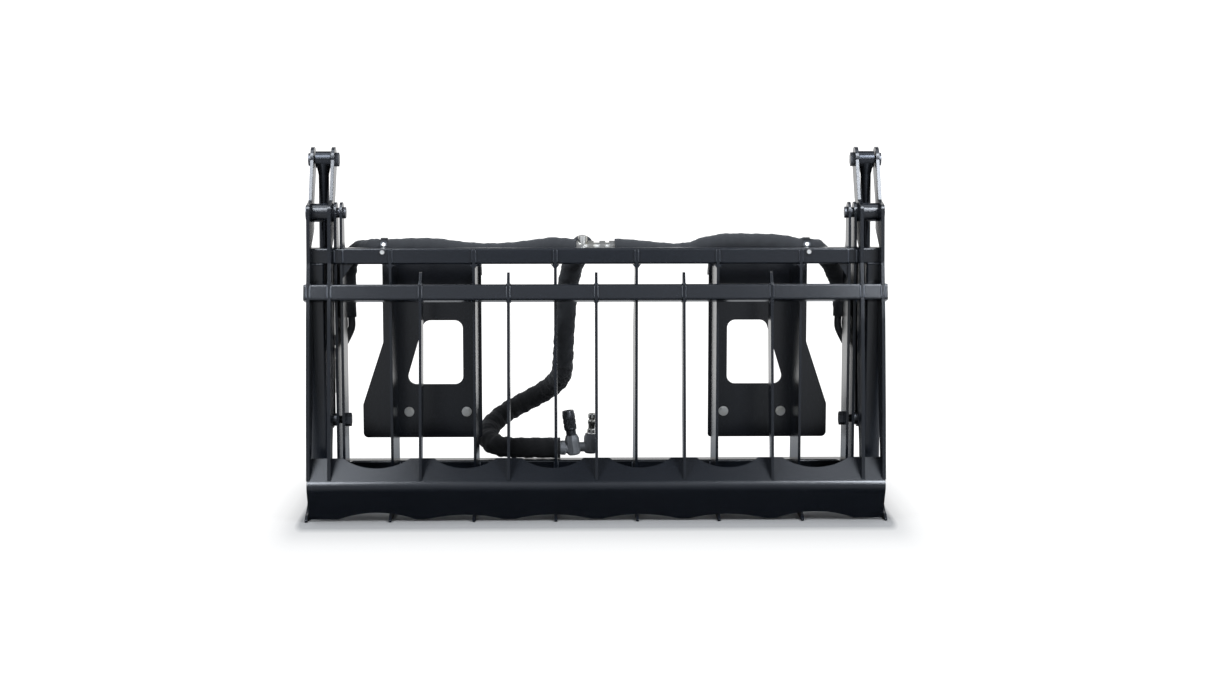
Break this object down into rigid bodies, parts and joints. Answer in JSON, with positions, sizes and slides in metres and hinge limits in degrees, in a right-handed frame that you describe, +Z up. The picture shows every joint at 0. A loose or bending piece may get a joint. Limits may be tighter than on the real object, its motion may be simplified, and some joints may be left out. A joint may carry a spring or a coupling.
{
  "type": "grapple rake",
  "caption": "Grapple rake for a compact loader: a tined rake frame, a hinged tined jaw with a steel lip, hydraulic cylinders, quick-attach plates and sleeved hoses.",
  "frame": {"origin": "centre of the footprint on the ground, under the rake's heels, between the two side pairs", "axes": "+X along the working width to the right seen from the jaw's side, +Y to the rear where the loader's plate couples, +Z up"},
  "size_m": [1.3684, 0.4999, 0.871],
  "materials": {
    "powder_coat_black": "blue-black powder coat, semi-gloss",
    "cap_plastic": "moulded black end caps",
    "zinc_steel": "bright zinc plate",
    "dark_pin_steel": "dark phosphated steel",
    "rod_chrome": "hard chrome, ground",
    "hose_rubber": "smooth black hose cover",
    "woven_sleeve": "woven nylon abrasion sleeve, matte"
  },
  "bodies": {
    "frame": {"top_tube": "powder_coat_black", "bottom_tube": "powder_coat_black", "posts": "powder_coat_black", "side_plate_inner_left": "powder_coat_black", "side_plate_outer_left": "powder_coat_black", "side_plate_inner_right": "powder_coat_black", "side_plate_outer_right": "powder_coat_black", "rake_tine_1": "powder_coat_black", "rake_tine_2": "powder_coat_black", "rake_tine_3": "powder_coat_black", "rake_tine_4": "powder_coat_black", "rake_tine_5": "powder_coat_black", "rake_tine_6": "powder_coat_black", "rake_tine_7": "powder_coat_black", "rake_tine_8": "powder_coat_black", "coupler_plate_left": "powder_coat_black", "coupler_plate_right": "powder_coat_black", "latch_angle_left": "powder_coat_black", "latch_angle_right": "powder_coat_black", "latch_bolts": "zinc_steel", "tube_caps": "cap_plastic", "pivot_pins": "dark_pin_steel", "base_pins": "dark_pin_steel", "lock_nuts": "dark_pin_steel", "pin_spacers": "dark_pin_steel", "hose_clamps": "zinc_steel", "tee_fittings": "zinc_steel", "sleeve_left": "woven_sleeve", "sleeve_right": "woven_sleeve", "drop_hose": "woven_sleeve", "coupler_female": "dark_pin_steel", "coupler_male": "zinc_steel"},
    "jaw": {"jaw_arm_outer_left": "powder_coat_black", "jaw_arm_inner_left": "powder_coat_black", "jaw_arm_inner_right": "powder_coat_black", "jaw_arm_outer_right": "powder_coat_black", "pivot_bosses": "powder_coat_black", "jaw_tube": "powder_coat_black", "jaw_tube_caps": "cap_plastic", "jaw_tine_1": "powder_coat_black", "jaw_tine_2": "powder_coat_black", "jaw_tine_3": "powder_coat_black", "jaw_tine_4": "powder_coat_black", "jaw_tine_5": "powder_coat_black", "jaw_lip": "powder_coat_black", "rod_pin_ends": "dark_pin_steel"},
    "left_barrel": {"barrel_left": "powder_coat_black", "gland_left": "dark_pin_steel", "port_block_left": "powder_coat_black", "tail_hoses_left": "hose_rubber"},
    "right_barrel": {"barrel_right": "powder_coat_black", "gland_right": "dark_pin_steel", "port_block_right": "powder_coat_black", "tail_hoses_right": "hose_rubber"},
    "left_rod": {"rod_left": "rod_chrome", "piston_left": "dark_pin_steel", "rod_pin_left": "dark_pin_steel"},
    "right_rod": {"rod_right": "rod_chrome", "piston_right": "dark_pin_steel", "rod_pin_right": "dark_pin_steel"}
  },
  "joints": [
    {"name": "jaw_hinge", "type": "hinge", "parent": "frame", "child": "jaw", "pos_m": [0, -0.03, 0.718], "axis": [-1, 0, 0], "range_deg": [0, 80]},
    {"name": "left_barrel_swing", "type": "hinge", "parent": "frame", "child": "left_barrel", "pos_m": [-0.6479, 0.008, 0.218], "axis": [-1, 0, 0], "range_deg": [0, 9.2]},
    {"name": "left_rod_slide", "type": "slide", "parent": "left_barrel", "child": "left_rod", "axis": [0, -0.0433, -0.9991], "range_m": [0, 0.15661]},
    {"name": "right_barrel_swing", "type": "hinge", "parent": "frame", "child": "right_barrel", "pos_m": [0.6479, 0.008, 0.218], "axis": [-1, 0, 0], "range_deg": [0, 9.2]},
    {"name": "right_rod_slide", "type": "slide", "parent": "right_barrel", "child": "right_rod", "axis": [0, -0.0433, -0.9991], "range_m": [0, 0.15661]}
  ],
  "couplings": [
    {"joint": "left_barrel_swing", "follows": "jaw_hinge", "ratio": 0.11479},
    {"joint": "left_rod_slide", "follows": "jaw_hinge", "m_per_rad": 0.11215},
    {"joint": "right_barrel_swing", "follows": "jaw_hinge", "ratio": 0.11479},
    {"joint": "right_rod_slide", "follows": "jaw_hinge", "m_per_rad": 0.11215}
  ]
}
